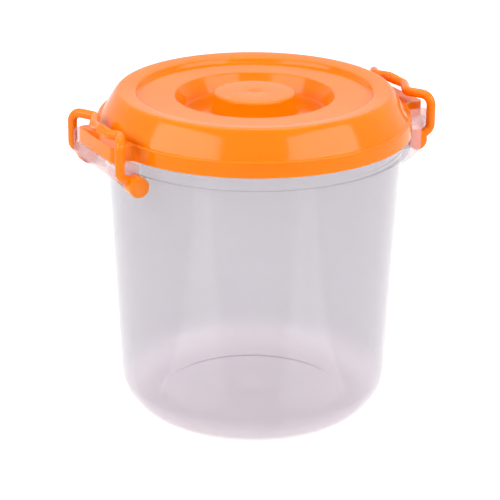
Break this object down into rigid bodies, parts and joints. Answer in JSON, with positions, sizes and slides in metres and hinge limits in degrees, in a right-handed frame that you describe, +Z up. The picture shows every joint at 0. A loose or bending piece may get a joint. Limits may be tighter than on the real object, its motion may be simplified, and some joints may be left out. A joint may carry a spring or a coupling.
{
  "type": "round storage container",
  "caption": "Round clear bucket with a domed lid, a central knob, and swinging side handles that hold the lid down.",
  "frame": {"origin": "centre of the bucket's foot, on the surface it stands on", "axes": "+Z up, +X towards the right handle, Y along the handles' pivots"},
  "size_m": [0.2926, 0.26, 0.2767],
  "materials": {
    "clear_polypropylene": "gloss",
    "orange_polypropylene": "gloss"
  },
  "bodies": {
    "bucket": {"bucket": "clear_polypropylene"},
    "lid": {"lid": "orange_polypropylene"},
    "handle_left": {"handle_left": "orange_polypropylene"},
    "handle_right": {"handle_right": "orange_polypropylene"}
  },
  "joints": [
    {"name": "handle_right_swing", "type": "hinge", "parent": "bucket", "child": "handle_right", "pos_m": [0.12971, 0, 0.2269], "axis": [0, 1, 0], "range_deg": [0, 160]},
    {"name": "handle_left_swing", "type": "hinge", "parent": "bucket", "child": "handle_left", "pos_m": [-0.12971, 0, 0.2269], "axis": [0, -1, 0], "range_deg": [0, 160]},
    {"name": "lid_lift", "type": "slide", "parent": "bucket", "child": "lid", "axis": [0, 0, 1], "range_m": [0, 0.003]}
  ]
}
